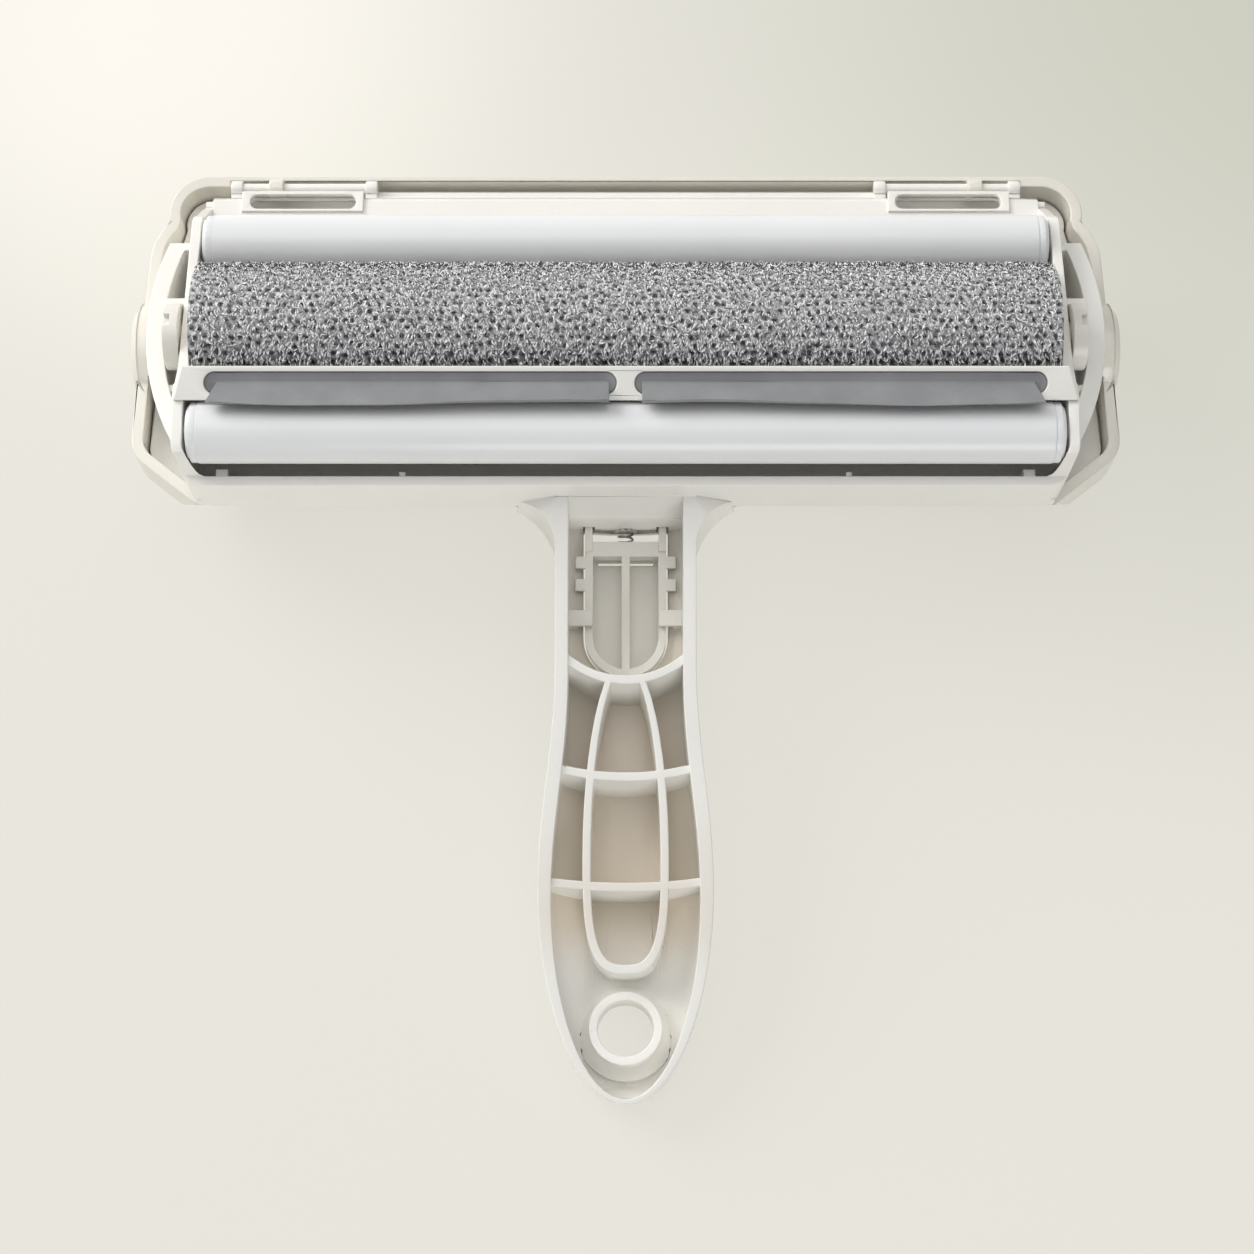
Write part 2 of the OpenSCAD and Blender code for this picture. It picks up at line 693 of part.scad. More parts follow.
// Catch on the lid's leaning front, up to the end of the handle, with a window for each arm
module lid_catch() {
    color([0.90, 0.89, 0.85]) difference() {
        intersection() {
            block([-catch_half, front_y, hinge_z - catch_low],
                [catch_half, lid_at(hinge_z - catch_low) + 1, parting_h - 4]);
            translate([0, hinge_y, hinge_z]) rotate([0, 90, 0])
                cylinder(r = sweep_r - 0.1, h = far, center = true, $fn = 360);
        }
        behind(0);
        on_back() both_sides() block([arm_x - catch_gap, root_reach - 3, arm_z0 - 1],
            [arm_x + arm_t + catch_gap, root_reach + 9, arm_z1 + 1]);
    }
}
catch_half = 11;
catch_low = 18;
catch_gap = 1.55;
knuckle_x = zone_out - 8.4;
post_x = zone_out + post_t + lid_gap;

module hinge_pin(s) {
    color([0.94, 0.93, 0.9]) mirror([s, 0, 0]) translate([0, hinge_y, hinge_z])
        bar_x(pin_d / 2, pin_x, pin_x + pin_l);
}
module hinge_pin_left() { hinge_pin(1); }
module hinge_pin_right() { hinge_pin(0); }

module release_button() {
    color([0.91, 0.9, 0.87]) on_back() {
        difference() {
            union() {
                difference() {
                    translate([0, 0, button_low]) linear_extrude(button_rim - button_low) button_shape(0);
                    translate([0, 0, button_low + button_wall]) linear_extrude(20) button_shape(button_wall);
                    // draught gap under the crossbar
                    block([-5.6, button_front - 3.9, button_low - 1], [5.6, button_front - 3.3, button_rim]);
                }
                block([-0.8, button_front - button_l + 1, button_low + 1], [0.8, button_front - 1, button_rim - 0.3]);
                block([-arm_x, button_front - 3, button_low + 1], [arm_x, button_front - eps, button_rim]);
            }
            // nest of the spring
            translate([0, button_front - spring_nest, spring_z]) rotate([-90, 0, 0]) cylinder(r = 2.3, h = 4);
        }
        both_sides() {
            // arms that reach through the end wall
            block([arm_x, button_front - 2, arm_z0], [arm_x + arm_t, root_reach, arm_z1]);
            // lugs that run on the handle's floor
            for (y = [lug_y, lug_y + 4.6])
                block([button_w / 2 - 0.6, y, floor_at(lug_x) + slide_gap], [lug_x, y + 2.4, button_rim]);
        }
    }
}
lug_y = 8;
lug_x = button_w / 2 + 1.9;

module button_spring() {
    turns = 3;
    mean_r = 1.5;
    wire = 0.45;
    gap = seat_y - button_front + spring_nest - 0.2;
    sides = 6;
    steps = 40;
    ring = [for (k = [0 : steps]) let (a = 360 * turns * k / steps) [mean_r * cos(a), wire / 2 + (gap - wire) * k / steps, mean_r * sin(a), a]];
    pts = [for (p = ring) for (j = [0 : sides - 1]) let (b = 360 * j / sides)
        [p[0] + wire / 2 * cos(b) * cos(p[3]), p[1] + wire / 2 * sin(b), p[2] + wire / 2 * cos(b) * sin(p[3])]];
    skin = [for (k = [0 : steps - 1]) for (j = [0 : sides - 1])
        [(k + 1) * sides + j, (k + 1) * sides + (j + 1) % sides, k * sides + (j + 1) % sides, k * sides + j]];
    color([0.72, 0.72, 0.72]) on_back() translate([0, button_front - spring_nest + 0.1, spring_z])
        polyhedron(pts, concat(skin, [[for (j = [0 : sides - 1]) j]],
            [[for (j = [sides - 1 : -1 : 0]) steps * sides + j]]));
}

module swing_drum() {
    half = drum_l / 2;
    color([0.92, 0.91, 0.88]) on_face() difference() {
        bar_x(drum_d / 2, -half, half);
        bar_x(drum_d / 2 - drum_wall, -half - 1, half + 1);
    }
}

module drum_fabric() {
    half = drum_l / 2;
    color([0.66, 0.67, 0.69]) on_face() difference() {
        bar_x(drum_r, -half, half);
        bar_x(drum_d / 2, -half - 1, half + 1);
    }
}

module drum_end(s) {
    half = drum_l / 2;
    color([0.92, 0.91, 0.88]) mirror([s, 0, 0]) on_face() difference() {
        union() {
            bar_x(drum_d / 2 - drum_wall, half - 7, half - 0.4);
            bar_x(drum_axle_d / 2, half - 1, outer_x + 0.3 + collar_t);
        }
        bar_x(drum_d / 2 - drum_wall - 1.6, half - 8, half - 2);
    }
}
module drum_end_left() { drum_end(1); }
module drum_end_right() { drum_end(0); }

module stop_collar(s) {
    color([0.9, 0.89, 0.86]) mirror([s, 0, 0]) on_face() difference() {
        union() {
            bar_x(collar_d / 2, outer_x + 0.3, outer_x + 0.3 + collar_t);
            rotate([face_tilt, 0, 0]) block([outer_x + 0.3, -lug_w / 2, -lug_r], [outer_x + 0.3 + lug_t, lug_w / 2, 0]);
        }
        bar_x(drum_axle_d / 2, outer_x - 1, outer_x + 9);
        block([outer_x + collar_t - 1, -1.2, collar_d / 2 - 1.4], [outer_x + collar_t + 2, 1.2, collar_d / 2 + 1]);
    }
}
module stop_collar_left() { stop_collar(1); }
module stop_collar_right() { stop_collar(0); }

// A rubber strip: base in the slot, foot through it and a lip that leans to the roller
lip_reach = lip_l * 0.78;
lip_rise = lip_l * 0.45;
module strip(s) {
    x0 = slot_web / 2 + seat_gap;
    x1 = slot_web / 2 + slot_l - seat_gap;
    base = slot_w / 2 - seat_gap;
    color([0.52, 0.53, 0.55]) mirror([s, 0, 0]) on_bar() {
        stadium(2 * base, x0, x1, -ledge, -0.45);
        stadium(foot_w - 2 * seat_gap, x0 + 0.9, x1 - 0.9, -ledge - 0.7, -ledge + eps);
        difference() {
            across(x0 + 1.3, x1) polygon([[-0.3, -0.46], [lip_reach, lip_rise],
                [lip_reach + lip_t * 0.45, lip_rise - lip_t * 0.9], [base + 0.25, 0.15],
                [base - 0.15, -0.3], [base - 0.15, -0.8], [-0.3, -0.8]]);
            // slanting outer end
            translate([x1 - 2.2, 0, -5]) rotate([0, 0, -24]) cube(20);
        }
    }
}
module near_strip_left() { strip(1); }
module near_strip_right() { strip(0); }

// Turns a near-side shape into its far-side twin, about the drum's middle plane
module far_side() { on_face() mirror([0, 1, 0]) rotate([face_tilt, 0, 0]) translate([0, -drum_y, -drum_z]) children(); }

module roller_tube() {
    half = roller_l / 2 - plug_flange;
    color([0.95, 0.95, 0.94]) on_face() translate([0, -roller_span / 2, 0]) difference() {
        bar_x(roller_d / 2, -half, half);
        bar_x(roller_d / 2 - roller_wall, -half - 1, half + 1);
    }
}

module roller_plug(s) {
    half = roller_l / 2;
    color([0.95, 0.95, 0.94]) mirror([s, 0, 0]) on_face() translate([0, -roller_span / 2, 0]) {
        bar_x(roller_d / 2 - 0.15, half - plug_flange, half - 0.6);
        bar_x(roller_d / 2 - 0.9, half - 0.62, half);
        bar_x(roller_d / 2 - roller_wall, half - plug_flange - 5, half - plug_flange + eps);
        bar_x(axle_d / 2, half - 1, outer_x);
    }
}
module near_roller_tube() { roller_tube(); }
module near_roller_plug_left() { roller_plug(1); }
module near_roller_plug_right() { roller_plug(0); }
module far_roller_tube() { far_side() roller_tube(); }
module far_roller_plug_left() { far_side() roller_plug(1); }
module far_roller_plug_right() { far_side() roller_plug(0); }

main_frame();
bin_lid();
lid_catch();
hinge_pin_left();
hinge_pin_right();
release_button();
button_spring();
swing_drum();
drum_fabric();
drum_end_left();
drum_end_right();
stop_collar_left();
stop_collar_right();
near_strip_left();
near_strip_right();
near_roller_tube();
near_roller_plug_left();
near_roller_plug_right();
far_roller_tube();
far_roller_plug_left();
far_roller_plug_right();
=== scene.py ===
import math
import bmesh
import bpy
import numpy as np
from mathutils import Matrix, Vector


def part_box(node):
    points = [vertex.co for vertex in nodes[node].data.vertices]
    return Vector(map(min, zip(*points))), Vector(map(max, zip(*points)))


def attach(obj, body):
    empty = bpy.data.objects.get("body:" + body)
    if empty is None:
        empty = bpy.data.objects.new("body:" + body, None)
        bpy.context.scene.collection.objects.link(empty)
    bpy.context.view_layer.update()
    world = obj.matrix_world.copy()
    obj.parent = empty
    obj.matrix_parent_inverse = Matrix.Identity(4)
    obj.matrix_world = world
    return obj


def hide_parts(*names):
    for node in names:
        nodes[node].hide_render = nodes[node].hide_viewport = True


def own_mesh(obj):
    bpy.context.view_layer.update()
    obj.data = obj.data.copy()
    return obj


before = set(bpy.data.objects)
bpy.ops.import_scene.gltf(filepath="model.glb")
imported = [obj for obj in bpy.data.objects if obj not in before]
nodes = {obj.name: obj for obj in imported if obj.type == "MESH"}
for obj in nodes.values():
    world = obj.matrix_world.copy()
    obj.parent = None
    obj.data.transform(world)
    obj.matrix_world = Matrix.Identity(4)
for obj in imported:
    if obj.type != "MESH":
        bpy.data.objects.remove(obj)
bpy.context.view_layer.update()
print("packed frame loaded:", len(nodes), "nodes")


# Small helpers

def linear(r, g, b):
    # screen colour 0-255 to the linear colour that the shader sockets want
    value = np.array([r, g, b]) / 255.0
    value = np.where(value <= 0.04045, value / 12.92, ((value + 0.055) / 1.055) ** 2.4)
    return (float(value[0]), float(value[1]), float(value[2]), 1.0)


def gridQuads(rows, columns, closeRows=False, closeColumns=False):
    # quads between neighbours on a grid: corner (i, j) is vertex i * columns + j
    i = np.arange(rows if closeRows else rows - 1)
    j = np.arange(columns if closeColumns else columns - 1)
    a, b = np.meshgrid(i, j, indexing="ij")
    nextA, nextB = (a + 1) % rows, (b + 1) % columns
    corners = [a * columns + b, a * columns + nextB, nextA * columns + nextB, nextA * columns + b]
    return np.stack(corners, -1).reshape(-1, 4)


def meshPiece(name, points, quads, material, smooth=True, pointValues=None):
    # a mesh object straight from arrays of points and quads, with named values on its points
    mesh = bpy.data.meshes.new(name)
    mesh.vertices.add(len(points))
    mesh.vertices.foreach_set("co", np.ascontiguousarray(points, np.float32).ravel())
    mesh.loops.add(quads.size)
    mesh.loops.foreach_set("vertex_index", np.ascontiguousarray(quads, np.int32).ravel())
    mesh.polygons.add(len(quads))
    mesh.polygons.foreach_set("loop_start", np.arange(0, quads.size, 4, dtype=np.int32))
    mesh.polygons.foreach_set("use_smooth", np.full(len(quads), smooth))
    mesh.update(calc_edges=True)
    mesh.validate()
    for label, values in (pointValues or {}).items():
        layer = mesh.attributes.new(label, "FLOAT", "POINT")
        layer.data.foreach_set("value", np.ascontiguousarray(values, np.float32).ravel())
    mesh.materials.append(material)
    piece = bpy.data.objects.new(name, mesh)
    bpy.context.scene.collection.objects.link(piece)
    return piece


# Shader node groups that several finishes share

def newGroup(name, inputs, outputs):
    group = bpy.data.node_groups.new(name, "ShaderNodeTree")
    for label, kind, value in inputs:
        socket = group.interface.new_socket(label, in_out="INPUT", socket_type=kind)
        socket.default_value = value
    for label, kind in outputs:
        group.interface.new_socket(label, in_out="OUTPUT", socket_type=kind)
    return group, group.nodes.new("NodeGroupInput"), group.nodes.new("NodeGroupOutput")


def put(tree, kind, settings=None, **sockets):
    # adds one node, sets its options, and fills or links its inputs by position or name
    node = tree.nodes.new(kind)
    for key, value in (settings or {}).items():
        setattr(node, key, value)
    for key, value in sockets.items():
        socket = node.inputs[int(key[1:])] if key[1:].isdigit() else node.inputs[key.replace("_", " ")]
        if isinstance(value, bpy.types.NodeSocket):
            tree.links.new(value, socket)
        else:
            socket.default_value = value
    return node


def makeMouldedSkin():
    # slow sink waves plus fine orange peel, and a faint uneven tone, as on moulded plastic
    group, given, out = newGroup("mouldedSkin", [
        ("Vector", "NodeSocketVector", (0, 0, 0)), ("Wave Scale", "NodeSocketFloat", 60.0),
        ("Peel Scale", "NodeSocketFloat", 900.0)],
        [("Height", "NodeSocketFloat"), ("Tone", "NodeSocketFloat")])
    place = given.outputs["Vector"]
    wave = put(group, "ShaderNodeTexNoise", Vector=place, Scale=given.outputs["Wave Scale"], Detail=1.0)
    peel = put(group, "ShaderNodeTexNoise", Vector=place, Scale=given.outputs["Peel Scale"], Detail=2.0)
    soft = put(group, "ShaderNodeMath", {"operation": "MULTIPLY"}, _0=peel.outputs[0], _1=0.12)
    both = put(group, "ShaderNodeMath", {"operation": "ADD"}, _0=wave.outputs[0], _1=soft.outputs[0])
    group.links.new(both.outputs[0], out.inputs["Height"])
    group.links.new(wave.outputs[0], out.inputs["Tone"])
    return group


def makeSoftSpot():
    # 1 at a centre, falling smoothly to 0 at a radius
    group, given, out = newGroup("softSpot", [
        ("Vector", "NodeSocketVector", (0, 0, 0)), ("Centre", "NodeSocketVector", (0, 0, 0)),
        ("Radius", "NodeSocketFloat", 0.1)], [("Mask", "NodeSocketFloat")])
    reach = put(group, "ShaderNodeVectorMath", {"operation": "DISTANCE"},
        _0=given.outputs["Vector"], _1=given.outputs["Centre"])
    ratio = put(group, "ShaderNodeMath", {"operation": "DIVIDE"},
        _0=reach.outputs["Value"], _1=given.outputs["Radius"])
    fall = put(group, "ShaderNodeMapRange", {"interpolation_type": "SMOOTHERSTEP"}, Value=ratio.outputs[0])
    fall.inputs["To Min"].default_value = 1.0
    fall.inputs["To Max"].default_value = 0.0
    group.links.new(fall.outputs[0], out.inputs["Mask"])
    return group


def makeFineDust():
    # specks of dust: the middles of small cells, thicker in some places than in others
    group, given, out = newGroup("fineDust", [
        ("Vector", "NodeSocketVector", (0, 0, 0)), ("Scale", "NodeSocketFloat", 700.0),
        ("Amount", "NodeSocketFloat", 0.2)],
        [("Mask", "NodeSocketFloat")])
    place = given.outputs["Vector"]
    cells = put(group, "ShaderNodeTexVoronoi", Vector=place, Scale=given.outputs["Scale"])
    near = put(group, "ShaderNodeMath", {"operation": "LESS_THAN"}, _0=cells.outputs["Distance"], _1=0.16)
    patch = put(group, "ShaderNodeTexNoise", Vector=place, Scale=90.0)
    some = put(group, "ShaderNodeMath", {"operation": "MULTIPLY"},
        _0=patch.outputs[0], _1=given.outputs["Amount"])
    mask = put(group, "ShaderNodeMath", {"operation": "MULTIPLY"}, _0=near.outputs[0], _1=some.outputs[0])
    group.links.new(mask.outputs[0], out.inputs["Mask"])
    return group


mouldedSkin = makeMouldedSkin()
softSpot = makeSoftSpot()
fineDust = makeFineDust()


def newMaterial(name):
    material = bpy.data.materials.new(name)
    material.use_nodes = True
    tree = material.node_tree
    tree.nodes.clear()
    output = tree.nodes.new("ShaderNodeOutputMaterial")
    shader = tree.nodes.new("ShaderNodeBsdfPrincipled")
    tree.links.new(shader.outputs[0], output.inputs[0])
    place = tree.nodes.new("ShaderNodeTexCoord").outputs["Object"]
    return material, tree, shader, place


def mixColour(tree, factor, first, second):
    node = tree.nodes.new("ShaderNodeMix")
    node.data_type = "RGBA"
    for socket, value in ((node.inputs[0], factor), (node.inputs[6], first), (node.inputs[7], second)):
        if isinstance(value, bpy.types.NodeSocket):
            tree.links.new(value, socket)
        else:
            socket.default_value = value
    return node.outputs[2]


def gradeAlong(tree, place, axis, start, end):
    # 0 at one coordinate, 1 at another, smooth between
    split = put(tree, "ShaderNodeSeparateXYZ", Vector=place)
    ramp = put(tree, "ShaderNodeMapRange", {"interpolation_type": "SMOOTHSTEP"}, Value=split.outputs[axis])
    ramp.inputs["From Min"].default_value = start
    ramp.inputs["From Max"].default_value = end
    return ramp.outputs[0]


plastic = {
    "openColour": linear(249, 247, 241),
    # painted shade colour for the low parts of the handle's cells
    "paintedCellShadeColour": linear(232, 220, 203),
    "lidColour": linear(236, 232, 222),
    "buttonColour": linear(247, 244, 236),
    "rollerColour": linear(240, 241, 242),
    "drumColour": linear(234, 231, 224),
    "dustColour": linear(168, 160, 148),
    "dustScale": 700.0,
    "toneSpread": (0.965, 1.03),     # darkest and palest places, as shares of the colour
    "roughSpread": (-0.04, 0.05),
    "coatRoughness": 0.12,
    "ior": 1.5,
}

# painted shade: the handle's cells turn warm and darker low down, as far as the head on one side and the hanging hole
# on the other
handleCellShade = {
    "depth": (0.026, 0.010),         # z where the tint starts and where it is full
    "headSide": (0.026, 0.018),      # y where it starts and where it is full
    "tipSide": (-0.070, -0.056),
    "upward": (0.1, 0.8),            # only on faces whose normal looks up
}


def makePlastic(name, colour, roughness, coat, deep=None, wave=70.0, bump=0.00004, specks=0.10):
    # glossy moulded plastic: uneven tone, faint surface waves, and painted shade, a warm darker tint low in the cells
    material, tree, shader, place = newMaterial(name)
    skin = put(tree, "ShaderNodeGroup", {"node_tree": mouldedSkin}, Vector=place, Wave_Scale=wave)
    darkest, palest = plastic["toneSpread"]
    paler = tuple(min(1.0, c * palest) for c in colour[:3]) + (1.0,)
    darker = tuple(c * darkest for c in colour[:3]) + (1.0,)
    tone = mixColour(tree, skin.outputs["Tone"], darker, paler)
    # painted shade: the tone turns to the cell colour low in the handle's cells, on faces that look up
    if deep:
        cellShadeMask = gradeAlong(tree, place, 2, *handleCellShade["depth"])
        headSide = gradeAlong(tree, place, 1, *handleCellShade["headSide"])
        tipSide = gradeAlong(tree, place, 1, *handleCellShade["tipSide"])
        facing = tree.nodes.new("ShaderNodeNewGeometry").outputs["Normal"]
        upward = gradeAlong(tree, facing, 2, *handleCellShade["upward"])
        for part in (headSide, tipSide, upward):
            cellShadeMask = put(tree, "ShaderNodeMath", {"operation": "MULTIPLY"}, _0=cellShadeMask, _1=part).outputs[0]
        tone = mixColour(tree, cellShadeMask, tone, deep)
    dust = put(tree, "ShaderNodeGroup", {"node_tree": fineDust}, Vector=place,
        Scale=plastic["dustScale"], Amount=specks)
    tone = mixColour(tree, dust.outputs["Mask"], tone, plastic["dustColour"])
    tree.links.new(tone, shader.inputs["Base Color"])
    smoother, rougher = plastic["roughSpread"]
    rough = put(tree, "ShaderNodeMapRange", Value=skin.outputs["Tone"])
    rough.inputs["To Min"].default_value = roughness + smoother
    rough.inputs["To Max"].default_value = roughness + rougher
    tree.links.new(rough.outputs[0], shader.inputs["Roughness"])
    relief = put(tree, "ShaderNodeBump", Height=skin.outputs["Height"], Distance=bump, Strength=0.6)
    tree.links.new(relief.outputs[0], shader.inputs["Normal"])
    shader.inputs["Coat Weight"].default_value = coat
    shader.inputs["Coat Roughness"].default_value = plastic["coatRoughness"]
    shader.inputs["IOR"].default_value = plastic["ior"]
    return material


plasticFinishes = {
    "frameWhite": {"colour": plastic["openColour"], "roughness": 0.32, "coat": 0.35, "deep": plastic["paintedCellShadeColour"]},
    "lidWhite": {"colour": plastic["lidColour"], "roughness": 0.30, "coat": 0.35},
    "pinWhite": {"colour": plastic["openColour"], "roughness": 0.30, "coat": 0.3},
    "buttonWhite": {"colour": plastic["buttonColour"], "roughness": 0.34, "coat": 0.25},
    "rollerWhite": {"colour": plastic["rollerColour"], "roughness": 0.34, "coat": 0.2,
        "wave": 40.0, "bump": 0.00001, "specks": 0.0},
    "drumWhite": {"colour": plastic["drumColour"], "roughness": 0.36, "coat": 0.2},
}
frameWhite, lidWhite, pinWhite, buttonWhite, rollerWhite, drumWhite = (
    makePlastic(name, **finish) for name, finish in plasticFinishes.items())

rubber = {
    "colour": linear(136, 137, 139),
    "wornColour": linear(160, 161, 163),
    "dustColour": linear(205, 205, 203),
    "dustScale": 1200.0,
    "dust": 0.16,
    "streaks": (60.0, 2600.0, 2600.0),   # drawing marks, long along x
    "cloudScale": 130.0,
    "roughness": 0.52,
    "specular": 0.35,
}


def makeRubber():
    # matt grey rubber: lengthwise drawing marks, dust and paler worn places
    material, tree, shader, place = newMaterial("stripRubber")
    stretched = put(tree, "ShaderNodeMapping", Vector=place, Scale=rubber["streaks"])
    streak = put(tree, "ShaderNodeTexNoise", Vector=stretched.outputs[0], Scale=1.0, Detail=3.0)
    cloud = put(tree, "ShaderNodeTexNoise", Vector=place, Scale=rubber["cloudScale"], Detail=3.0)
    fresh = tuple(c * 0.9 for c in rubber["colour"][:3]) + (1.0,)
    tone = mixColour(tree, cloud.outputs[0], fresh, rubber["wornColour"])
    dust = put(tree, "ShaderNodeGroup", {"node_tree": fineDust}, Vector=place,
        Scale=rubber["dustScale"], Amount=rubber["dust"])
    tone = mixColour(tree, dust.outputs["Mask"], tone, rubber["dustColour"])
    tree.links.new(tone, shader.inputs["Base Color"])
    relief = put(tree, "ShaderNodeBump", Height=streak.outputs[0], Distance=0.00003, Strength=0.5)
    tree.links.new(relief.outputs[0], shader.inputs["Normal"])
    shader.inputs["Roughness"].default_value = rubber["roughness"]
    shader.inputs["Specular IOR Level"].default_value = rubber["specular"]
    return material


steel = {
    "darkColour": linear(150, 150, 152),
    "paleColour": linear(196, 196, 198),
    "grainScale": 2500.0,
    "roughness": 0.3,
}


def makeSteel():
    # drawn spring wire with a fine grain
    material, tree, shader, place = newMaterial("springSteel")
    grain = put(tree, "ShaderNodeTexNoise", Vector=place, Scale=steel["grainScale"], Detail=2.0)
    tone = mixColour(tree, grain.outputs[0], steel["darkColour"], steel["paleColour"])
    tree.links.new(tone, shader.inputs["Base Color"])
    relief = put(tree, "ShaderNodeBump", Height=grain.outputs[0], Distance=0.00001, Strength=0.4)
    tree.links.new(relief.outputs[0], shader.inputs["Normal"])
    shader.inputs["Metallic"].default_value = 1.0
    shader.inputs["Roughness"].default_value = steel["roughness"]
    return material


stripRubber = makeRubber()
springSteel = makeSteel()

pile = {
    "seed": 11,
    "pitchAlong": 0.00178,     # pits along the drum
    "pitchRound": 0.00172,     # rows of pits round it
    "pitRadius": 0.00044,
    "groundDrop": 0.00085,     # backing below the fabric's outer face
    "pitJitter": 0.13,         # how far a pit stands from its place, in pitches
    "pitDepths": (0.35, 1.0),
    "fibres": 46000,           # places in each of the two layers, of which the pits stay free
    "fibreLength": (0.0006, 0.0013),
    "fibreWidth": (0.00015, 0.00034),
    "proud": 0.00030,          # how far the highest tips stand over the outer face
    "darkColour": linear(56, 56, 59),
    "midColour": linear(242, 242, 244),
    "lightColour": linear(254, 254, 255),
    "paintedLightFacing": (0.0, 0.62, 0.78),     # painted light: the way that the fabric's lit side faces
    "paintedLightRange": (-0.35, 0.88),
    # painted shade: share of the colour that stays where the fabric faces away from the painted light
    "paintedShadeShare": (0.13, 0.13, 0.14, 1.0),
    "speckleScale": 2600.0,
    "heading": (-math.pi / 2, 0.42),    # the nap's middle direction round the drum, and its spread
    "stray": 0.16,                      # share of fibres that lie any way
    "curl": 0.7,
    "taper": (0.7, 1.0, 0.35),          # width at root, belly and tip
    "rise": (0.0, 0.92, 0.78),          # height at root, belly and tip
    "toneAndPaintedShade": (0.35, 1.0, 0.9),          # painted shade: brightness at root, belly and tip, darkest deep in the pile
    "tone": (0.74, 0.20),               # middle and spread of the fibres' own brightness
    "brightTone": (0.86, 1.0),
    "tuftSizes": (0.0011, 0.0034),
    "tuftPull": 0.16,                   # how much a tuft lifts and brightens its fibres
    # height of the tallest fibre as a share of the pile, and share of bright fibres
    "layers": {"fabricUnderFibres": (0.75, 0.10), "fabricOverFibres": (1.0, 0.42)},
}


def makePileMaterial(name, roughness, sheen):
    # silvery polyester: the colour comes from each fibre's own tone with painted shade darker at its root, and
    # painted light by the way it faces
    material, tree, shader, place = newMaterial(name)
    toneAndPaintedShade = put(tree, "ShaderNodeAttribute", {"attribute_name": "toneAndPaintedShade"}).outputs["Fac"]
    speckle = put(tree, "ShaderNodeTexNoise", Vector=place, Scale=pile["speckleScale"], Detail=2.0)
    nudge = put(tree, "ShaderNodeMath", {"operation": "MULTIPLY_ADD"},
        _0=speckle.outputs[0], _1=0.5, _2=-0.25)
    total = put(tree, "ShaderNodeMath", {"operation": "ADD", "use_clamp": True},
        _0=toneAndPaintedShade, _1=nudge.outputs[0])
    ramp = put(tree, "ShaderNodeValToRGB", Fac=total.outputs[0])
    ramp.color_ramp.elements[0].color = pile["darkColour"]
    ramp.color_ramp.elements[1].color = pile["lightColour"]
    middle = ramp.color_ramp.elements.new(0.5)
    middle.color = pile["midColour"]
    # painted light and shade: the colour stays full where the surface faces the far side and up, and is darkened
    # where it faces the near side
    facing = tree.nodes.new("ShaderNodeNewGeometry").outputs["Normal"]
    towardsPaintedLight = put(tree, "ShaderNodeVectorMath", {"operation": "DOT_PRODUCT"}, _0=facing, _1=pile["paintedLightFacing"])
    paintedLightRamp = put(tree, "ShaderNodeMapRange", {"interpolation_type": "SMOOTHSTEP"}, Value=towardsPaintedLight.outputs["Value"])
    paintedLightRamp.inputs["From Min"].default_value, paintedLightRamp.inputs["From Max"].default_value = pile["paintedLightRange"]
    paintedLightFactor = mixColour(tree, paintedLightRamp.outputs[0], pile["paintedShadeShare"], (1.0, 1.0, 1.0, 1.0))
    silverWithPaintedLight = tree.nodes.new("ShaderNodeMix")
    silverWithPaintedLight.data_type = "RGBA"
    silverWithPaintedLight.blend_type = "MULTIPLY"
    silverWithPaintedLight.inputs[0].default_value = 1.0
    tree.links.new(ramp.outputs[0], silverWithPaintedLight.inputs[6])
    tree.links.new(paintedLightFactor, silverWithPaintedLight.inputs[7])
    tree.links.new(silverWithPaintedLight.outputs[2], shader.inputs["Base Color"])
    relief = put(tree, "ShaderNodeBump", Height=speckle.outputs[0], Distance=0.00006, Strength=0.7)
    tree.links.new(relief.outputs[0], shader.inputs["Normal"])
    shader.inputs["Roughness"].default_value = roughness
    shader.inputs["Sheen Weight"].default_value = sheen
    shader.inputs["Sheen Roughness"].default_value = 0.4
    return material


pileBacking = makePileMaterial("pileBacking", 0.75, 0.2)
pileFibre = makePileMaterial("pileFibre", 0.42, 0.25)
print("materials made")


# Rounded finish of the moulded pieces

rounding = {"angle": 32, "segments": 2}


def joinedCopy(nodeName, body, material, stations=0, move=None):
    # the node's own mesh with its loose triangles joined; it may be cut at even stations along x,
    # and its points then moved by a function of the whole array of them
    mesh = nodes[nodeName].data.copy()
    shape = bmesh.new()
    shape.from_mesh(mesh)
    bmesh.ops.remove_doubles(shape, verts=shape.verts, dist=2e-6)
    low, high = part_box(nodeName)
    for x in np.linspace(low.x, high.x, stations + 2)[1:-1]:
        whole = shape.verts[:] + shape.edges[:] + shape.faces[:]
        bmesh.ops.bisect_plane(shape, geom=whole, dist=1e-7, plane_co=(float(x), 0, 0), plane_no=(1, 0, 0))
    shape.to_mesh(mesh)
    shape.free()
    if move:
        points = np.empty(len(mesh.vertices) * 3, np.float32)
        mesh.vertices.foreach_get("co", points)
        mesh.vertices.foreach_set("co", move(points.reshape(-1, 3)).astype(np.float32).ravel())
        mesh.update()
    mesh.name = nodeName + "Finish"
    mesh.materials.clear()
    mesh.materials.append(material)
    mesh.polygons.foreach_set("use_smooth", np.ones(len(mesh.polygons), bool))
    piece = bpy.data.objects.new(nodeName + "Finish", mesh)
    bpy.context.scene.collection.objects.link(piece)
    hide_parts(nodeName)
    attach(piece, body)
    return piece


def roundedCopy(nodeName, body, material, width, stations=0, move=None):
    # a joined copy with every hard edge rounded
    piece = joinedCopy(nodeName, body, material, stations, move)
    edge = piece.modifiers.new("rounding", "BEVEL")
    edge.width = width
    edge.segments = rounding["segments"]
    edge.limit_method = "ANGLE"
    edge.angle_limit = math.radians(rounding["angle"])
    edge.use_clamp_overlap = False
    even = piece.modifiers.new("evenNormals", "WEIGHTED_NORMAL")
    even.keep_sharp = True
    return piece


